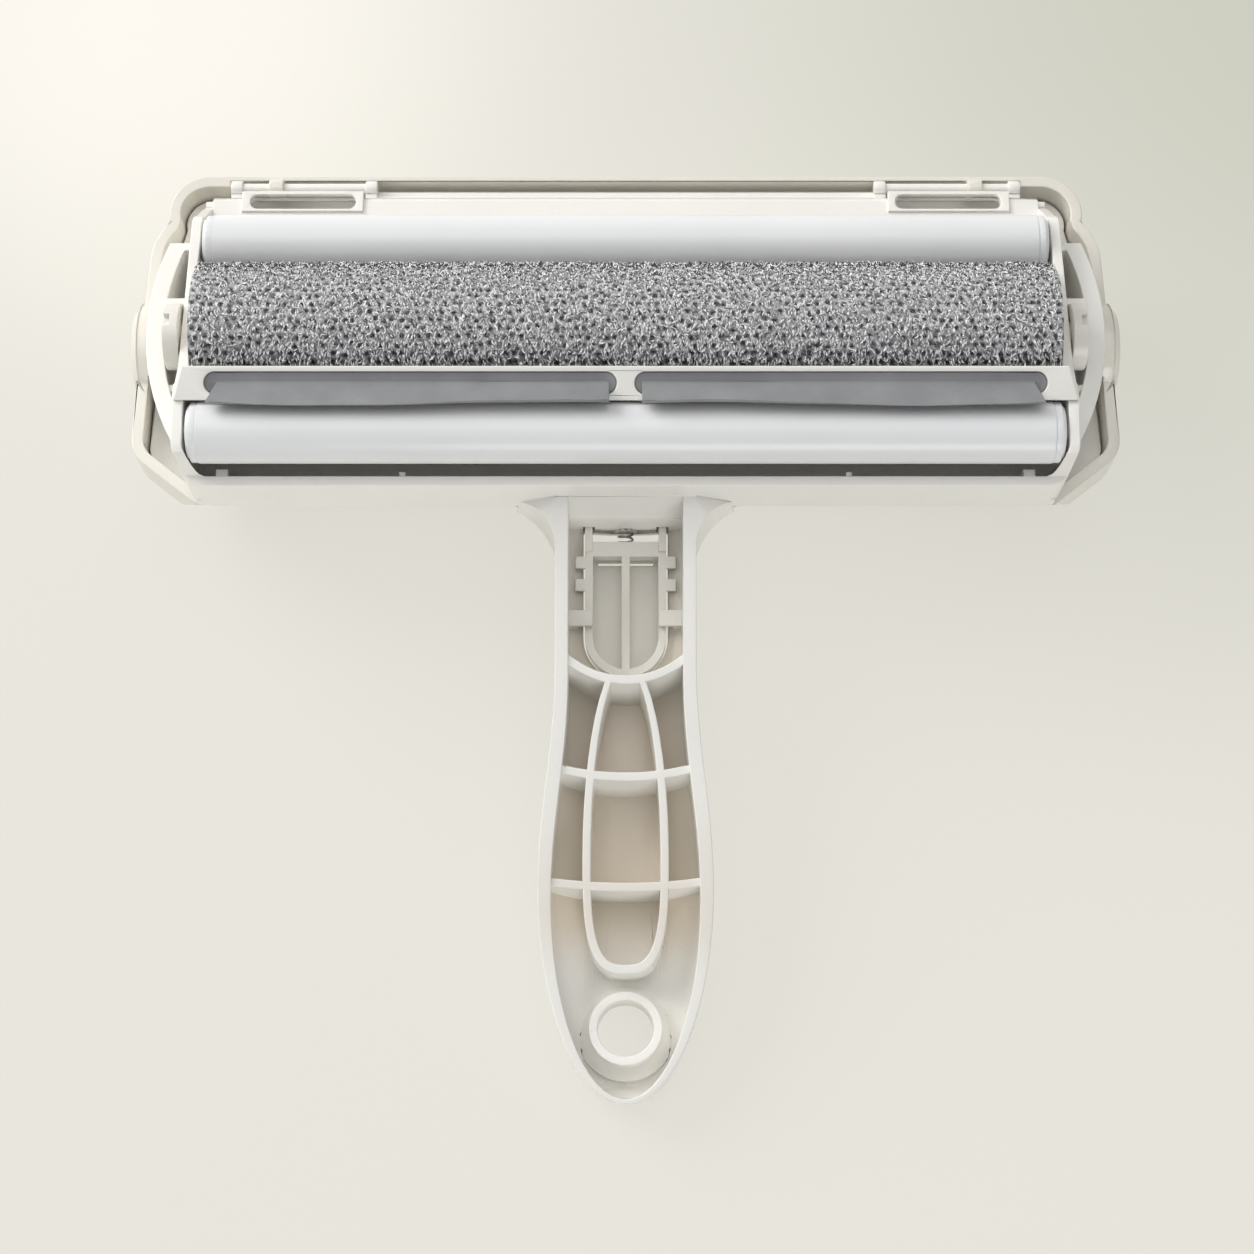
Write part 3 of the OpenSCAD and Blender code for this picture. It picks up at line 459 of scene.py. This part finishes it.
lip = {
    "root": (0.03713, 0.05698),     # y and z of the strip's top where its lip starts
    "outward": (-0.4711, 0.8817),   # away from the bar, in y and z
    "down": (-0.8817, -0.4711),     # along the bar's face towards the handle
    "thick": 0.0004,                # height over the strip's top where the lip counts as free
    "free": 0.0024,                 # height of its free edge in the CAD shape
    "raise": 0.0020,                # the free edge curls up by this
    "bow": 0.00060,                 # and bows down the face by about this where it is slackest
    "slackest": 0.056,              # distance of that place from the middle
    "stations": 36,                 # cuts along x that let it bend
    "slowWave": (75, 0.9, -0.2),    # turns per metre times 2 pi, height and offset, in bows
    "ripple": (260, 0.12),
}


def curlLip(points):
    # raises and bows the free edge: each point moves by its share of the lip's height, the raise the
    # same all along, the bow a slow cosine along x with a shorter ripple on it
    y, z = points[:, 1] - lip["root"][0], points[:, 2] - lip["root"][1]
    height = y * lip["outward"][0] + z * lip["outward"][1]
    share = np.clip((height - lip["thick"]) / (lip["free"] - lip["thick"]), 0, 1)[:, None]
    slowTurns, slowHeight, offset = lip["slowWave"]
    rippleTurns, rippleHeight = lip["ripple"]
    fromSlackest = np.abs(points[:, 0]) - lip["slackest"]
    bow = lip["bow"] * (np.cos(fromSlackest * slowTurns) * slowHeight + offset
        + rippleHeight * np.sin(points[:, 0] * rippleTurns))
    shift = np.zeros_like(points)
    shift[:, 1] = lip["outward"][0] * lip["raise"] + lip["down"][0] * bow
    shift[:, 2] = lip["outward"][1] * lip["raise"] + lip["down"][1] * bow
    return points + shift * share


moulded = {
    "main_frame": ("frame", frameWhite, 0.00022),
    "bin_lid": ("lid", lidWhite, 0.00030),
    "lid_catch": ("lid", lidWhite, 0.00020),
    "release_button": ("button", buttonWhite, 0.00008),
    "near_strip_left": ("frame", stripRubber, 0.00012),
    "near_strip_right": ("frame", stripRubber, 0.00012),
    "drum_end_left": ("drum", drumWhite, 0.00015),
    "drum_end_right": ("drum", drumWhite, 0.00015),
    "stop_collar_left": ("drum", drumWhite, 0.00020),
    "stop_collar_right": ("drum", drumWhite, 0.00020),
    "near_roller_plug_left": ("near_roller", rollerWhite, 0.00015),
    "near_roller_plug_right": ("near_roller", rollerWhite, 0.00015),
    "far_roller_plug_left": ("far_roller", rollerWhite, 0.00015),
    "far_roller_plug_right": ("far_roller", rollerWhite, 0.00015),
    "near_roller_tube": ("near_roller", rollerWhite, 0.00015),
    "far_roller_tube": ("far_roller", rollerWhite, 0.00015),
}
for nodeName, (body, material, width) in moulded.items():
    bend = {"stations": lip["stations"], "move": curlLip} if material is stripRubber else {}
    piece = roundedCopy(nodeName, body, material, width, **bend)
    print("rounded", nodeName, len(piece.data.polygons), "faces")

plain = {"hinge_pin_left": pinWhite, "hinge_pin_right": pinWhite, "swing_drum": drumWhite}
for nodeName, material in plain.items():
    nodes[nodeName].data.materials.clear()
    nodes[nodeName].data.materials.append(material)


# the spring is a joined copy that stays with the frame
coil = joinedCopy("button_spring", "frame", springSteel)
low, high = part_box("button_spring")
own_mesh(coil)


# Lint fabric on the drum: a backing with pits, and two layers of napped ribbons

low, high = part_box("drum_fabric")
drumCentre = np.array([(low.y + high.y) / 2, (low.z + high.z) / 2])
drumRadius = (high.y - low.y) / 2
drumHalf = (high.x - low.x) / 2


def wrapOnDrum(along, angle, radius):
    # a point on the drum: x along its axis, angle round it from straight up, radius from its axis
    return np.stack([along, drumCentre[0] + radius * np.sin(angle), drumCentre[1] + radius * np.cos(angle)], -1)


rng = np.random.default_rng(pile["seed"])
pitRows = int(round(2 * math.pi * drumRadius / pile["pitchRound"]))
pitColumns = int(round(2 * drumHalf / pile["pitchAlong"]))
pitShift = rng.normal(0, pile["pitJitter"], (pitRows, pitColumns, 2))
pitDepth = rng.uniform(*pile["pitDepths"], (pitRows, pitColumns))


def pitNear(along, angle):
    # how deep a point is in the nearest pit: 1 at its middle, 0 outside; pits stand in loose rows
    # on a staggered grid, each shifted a little
    u = (along + drumHalf) / (2 * drumHalf) * pitColumns
    v = np.mod(angle, 2 * math.pi) / (2 * math.pi) * pitRows
    best = np.zeros_like(u)
    row = np.floor(v).astype(int)
    for stepRow in (-1, 0, 1):
        r = row + stepRow
        half = np.where(np.mod(r, 2) == 0, 0.0, 0.5)
        column = np.floor(u - half).astype(int)
        for stepColumn in (-1, 0, 1):
            c = column + stepColumn
            shift = pitShift[np.mod(r, pitRows), np.mod(c, pitColumns)]
            du = (c + half + 0.5 + shift[..., 0] - u) * pile["pitchAlong"]
            dv = (r + 0.5 + shift[..., 1] - v) * pile["pitchRound"]
            reach = np.hypot(du, dv) / pile["pitRadius"]
            depth = pitDepth[np.mod(r, pitRows), np.mod(c, pitColumns)]
            best = np.maximum(best, depth * np.clip(1.6 - reach, 0, 1))
    return best


def waves(along, angle, count, shortest, longest, rng):
    # sum of random sine waves round and along the drum, scaled to about -1..1
    total = np.zeros_like(along)
    for k in range(count):
        length = rng.uniform(shortest, longest)
        turn = rng.uniform(0, math.pi)
        stretch = np.round(2 * math.pi * drumRadius / length * abs(math.sin(turn)))
        start = rng.uniform(0, 6.28)
        total += np.sin(2 * math.pi * along / length * math.cos(turn) + stretch * angle + start)
    return total / math.sqrt(count)


# the backing is a closed sleeve: rings along the drum, points round it, end rings drawn in
sleeve = {"rings": 330, "round": 180, "lumpHeight": 0.00012, "pitDepth": 0.0002, "endDrop": 0.0012}
along = np.linspace(-drumHalf + 0.0001, drumHalf - 0.0001, sleeve["rings"])
along = np.concatenate([[-drumHalf], along, [drumHalf]])
angle = np.linspace(0, 2 * math.pi, sleeve["round"], endpoint=False)
gridAlong, gridAngle = np.meshgrid(along, angle, indexing="ij")
pits = pitNear(gridAlong, gridAngle)
lumps = waves(gridAlong, gridAngle, 14, 0.0008, 0.0025, rng)
radius = drumRadius - pile["groundDrop"] + sleeve["lumpHeight"] * lumps - sleeve["pitDepth"] * pits
radius[0], radius[-1] = drumRadius - sleeve["endDrop"], drumRadius - sleeve["endDrop"]
# painted light and shade: the backing is lighter on its lumps and darker in its pits
toneAndPaintedShade = np.clip(0.36 + 0.12 * lumps - 0.7 * pits, 0.0, 1.0)
outer = wrapOnDrum(gridAlong, gridAngle, radius)
outwardQuads = gridQuads(len(along), len(angle), closeColumns=True)[:, ::-1]
backing = meshPiece("fabricBacking", outer.reshape(-1, 3), outwardQuads, pileBacking, pointValues={"toneAndPaintedShade": toneAndPaintedShade})
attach(backing, "drum")


def fibreLayer(name, rng, tallest, brightShare):
    # curved ribbons of two quads: root in the backing, belly up, tip bent over along the nap, which
    # runs round the drum; none stands or leans over a pit, and they clump in pale and dark tufts
    count = pile["fibres"]
    side = math.sqrt(2 * math.pi * drumRadius * 2 * drumHalf / count)
    columnsWide = int(2 * drumHalf / side)
    rowsRound = count // columnsWide
    c, r = np.meshgrid(np.arange(columnsWide), np.arange(rowsRound))
    c = c.ravel() + rng.uniform(0, 1, c.size)
    r = r.ravel() + rng.uniform(0, 1, r.size)
    rootAlong = (c / columnsWide * 2 - 1) * (drumHalf - 0.0004)
    rootAngle = r / rowsRound * 2 * math.pi
    length = rng.uniform(*pile["fibreLength"], rootAlong.size)
    heading = rng.normal(*pile["heading"], rootAlong.size)
    stray = rng.uniform(0, 1, rootAlong.size) < pile["stray"]
    heading = np.where(stray, rng.uniform(0, 2 * math.pi, rootAlong.size), heading)
    curl = rng.normal(0, pile["curl"], rootAlong.size)
    inPit = pitNear(rootAlong, rootAngle)
    for share in (0.45, 0.9):
        inPit = np.maximum(inPit, pitNear(rootAlong + np.cos(heading) * length * share,
            rootAngle + np.sin(heading) * length * share / drumRadius))
    keep = rng.uniform(0, 1, inPit.size) > inPit * 1.25
    rootAlong, rootAngle, length, heading, curl = (
        values[keep] for values in (rootAlong, rootAngle, length, heading, curl))
    count = rootAlong.size
    wide = rng.uniform(*pile["fibreWidth"], count)
    tuft = waves(rootAlong, rootAngle, 16, *pile["tuftSizes"], rng)
    pull = pile["tuftPull"] * tuft
    lift = np.clip(rng.uniform(0.25, 1.0, count) + pull, 0.1, 1.0) * tallest
    # painted light: taller fibres are made brighter
    tone = np.clip(rng.normal(*pile["tone"], count) + pull + 0.25 * (lift - 0.5), 0.05, 1.0)
    bright = rng.uniform(0, 1, count) < brightShare * (1 + 0.8 * tuft)
    tone = np.where(bright, rng.uniform(*pile["brightTone"], count), tone)
    heights = np.stack([share * lift for share in pile["rise"]], 1) * (pile["groundDrop"] + pile["proud"])
    roll = rng.normal(0, 0.00006, count)
    rungs = []
    values = []
    du = np.zeros(count)
    dv = np.zeros(count)
    for k in range(3):
        way = heading + curl * (k - 1) * 0.5
        if k:
            du = du + np.cos(way) * length * 0.5
            dv = dv + np.sin(way) * length * 0.5
        for edgeSide in (-1, 1):
            across = edgeSide * wide * 0.5 * pile["taper"][k]
            x = np.clip(rootAlong + du - np.sin(way) * across, -drumHalf + 0.0001, drumHalf - 0.0001)
            height = drumRadius - pile["groundDrop"] + heights[:, k] + edgeSide * roll * (k > 0)
            rungs.append(wrapOnDrum(x, rootAngle + (dv + np.cos(way) * across) / drumRadius,
                np.minimum(height, drumRadius + pile["proud"])))
            # painted shade: each fibre is darker at its root
            values.append(np.clip(tone * pile["toneAndPaintedShade"][k], 0, 1))
    points = np.stack(rungs, 1).reshape(-1, 3)
    base = (np.arange(count) * 6)[:, None, None]
    quads = (base + np.array([[0, 1, 3, 2], [2, 3, 5, 4]])[None]).reshape(-1, 4)
    layer = meshPiece(name, points, quads, pileFibre, pointValues={"toneAndPaintedShade": np.stack(values, 1).ravel()})
    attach(layer, "drum")
    return layer


for name, (tallest, brightShare) in pile["layers"].items():
    layer = fibreLayer(name, rng, tallest, brightShare)
    print("fabric layer", name, len(layer.data.polygons), "faces")
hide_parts("drum_fabric")


# Floor, light and camera

floor = {
    "size": 3.0,
    "drop": 0.0002,     # below the part's flat bottom
    "paintedLightAt": (-0.105, 0.150, 0.0),
    "paintedLightRadius": 0.12,
    "paintedShadeAt": (0.170, 0.170, 0.0),
    "paintedShadeRadius": 0.24,
    "colour": linear(233, 231, 222),
    "paintedLightColour": linear(254, 250, 241),
    "paintedShadeColour": linear(208, 208, 195),
    "own": 0.80,        # share where the floor glows with painted light for camera and glossy rays, the rest takes light and shadow
}


def makeFloor():
    # a pale seamless sheet with a painted pool of light at the far left and painted shade at the far right; it partly
    # glows with painted light, which fades its shadows
    material, tree, shader, place = newMaterial("paleFloor")
    paintedLightSpot = put(tree, "ShaderNodeGroup", {"node_tree": softSpot}, Vector=place,
        Centre=floor["paintedLightAt"], Radius=floor["paintedLightRadius"])
    paintedShadeSpot = put(tree, "ShaderNodeGroup", {"node_tree": softSpot}, Vector=place,
        Centre=floor["paintedShadeAt"], Radius=floor["paintedShadeRadius"])
    colour = mixColour(tree, paintedShadeSpot.outputs[0], floor["colour"], floor["paintedShadeColour"])
    colour = mixColour(tree, paintedLightSpot.outputs[0], colour, floor["paintedLightColour"])
    grain = put(tree, "ShaderNodeTexNoise", Vector=place, Scale=1500.0, Detail=2.0)
    paper = put(tree, "ShaderNodeBump", Height=grain.outputs[0], Distance=0.00002, Strength=0.3)
    tree.links.new(paper.outputs[0], shader.inputs["Normal"])
    tree.links.new(colour, shader.inputs["Base Color"])
    shader.inputs["Roughness"].default_value = 0.85
    shader.inputs["Specular IOR Level"].default_value = 0.1
    # painted light: the floor glows with its own colour for camera and glossy rays
    paintedGlow = put(tree, "ShaderNodeEmission", Color=colour, Strength=1.0)
    ray = tree.nodes.new("ShaderNodeLightPath")
    either = put(tree, "ShaderNodeMath", {"operation": "MAXIMUM"},
        _0=ray.outputs["Is Camera Ray"], _1=ray.outputs["Is Glossy Ray"])
    share = put(tree, "ShaderNodeMath", {"operation": "MULTIPLY"}, _0=either.outputs[0], _1=floor["own"])
    blend = tree.nodes.new("ShaderNodeMixShader")
    tree.links.new(share.outputs[0], blend.inputs[0])
    tree.links.new(shader.outputs[0], blend.inputs[1])
    tree.links.new(paintedGlow.outputs[0], blend.inputs[2])
    output = [n for n in tree.nodes if n.type == "OUTPUT_MATERIAL"][0]
    tree.links.new(blend.outputs[0], output.inputs[0])
    return material


half = floor["size"] / 2
corners = np.array([[-half, -half, 0], [half, -half, 0], [half, half, 0], [-half, half, 0]]) - [0, 0, floor["drop"]]
ground = meshPiece("floorSheet", corners, np.array([[0, 1, 2, 3]]), makeFloor(), smooth=False)

lamps = {
    "keyLight": {"at": (-1.05, 0.72, 0.80), "size": 0.95, "power": 15.5, "colour": (1.0, 0.99, 0.97)},
    "nearLight": {"at": (0.15, -1.25, 0.36), "size": 0.6, "power": 5.5, "colour": (0.98, 0.99, 1.0)},
    "topLight": {"at": (0.0, 0.35, 1.9), "size": 1.2, "power": 5.5, "colour": (1.0, 1.0, 1.0)},
}
for name, lamp in lamps.items():
    light = bpy.data.lights.new(name, "AREA")
    light.shape = "SQUARE"
    light.size = lamp["size"]
    light.energy = lamp["power"]
    light.color = lamp["colour"]
    holder = bpy.data.objects.new(name, light)
    bpy.context.scene.collection.objects.link(holder)
    holder.location = lamp["at"]
    x, y, z = lamp["at"]
    holder.rotation_euler = (math.atan2(math.hypot(x, y), z), 0, math.atan2(y, x) + math.pi / 2)

# the air is brighter towards the far side than towards the near one
studioAir = {"colour": (0.97, 0.97, 0.97, 1.0), "near": 0.20, "far": 0.60, "span": (-0.9, 0.9)}
world = bpy.data.worlds.new("studioAir")
world.use_nodes = True
air = world.node_tree
sky = air.nodes["Background"]
sky.inputs[0].default_value = studioAir["colour"]
direction = air.nodes.new("ShaderNodeTexCoord").outputs["Generated"]
level = gradeAlong(air, direction, 1, *studioAir["span"])
strength = put(air, "ShaderNodeMapRange", Value=level)
strength.inputs["To Min"].default_value = studioAir["near"]
strength.inputs["To Max"].default_value = studioAir["far"]
air.links.new(strength.outputs[0], sky.inputs[1])
bpy.context.scene.world = world

view = {"place": (0.0, -0.1484, 0.4899), "tilt": 17.5, "lens": 70.71, "shift": 0.0011}
camera = bpy.data.cameras.new("photoCamera")
camera.lens = view["lens"]
camera.sensor_width = 36.0
camera.shift_x = view["shift"]
camera.clip_start = 0.01
eye = bpy.data.objects.new("photoCamera", camera)
bpy.context.scene.collection.objects.link(eye)
eye.location = view["place"]
eye.rotation_euler = (math.radians(view["tilt"]), 0, 0)
bpy.context.scene.camera = eye
bpy.context.scene.view_settings.view_transform = "Standard"
print("stage set")
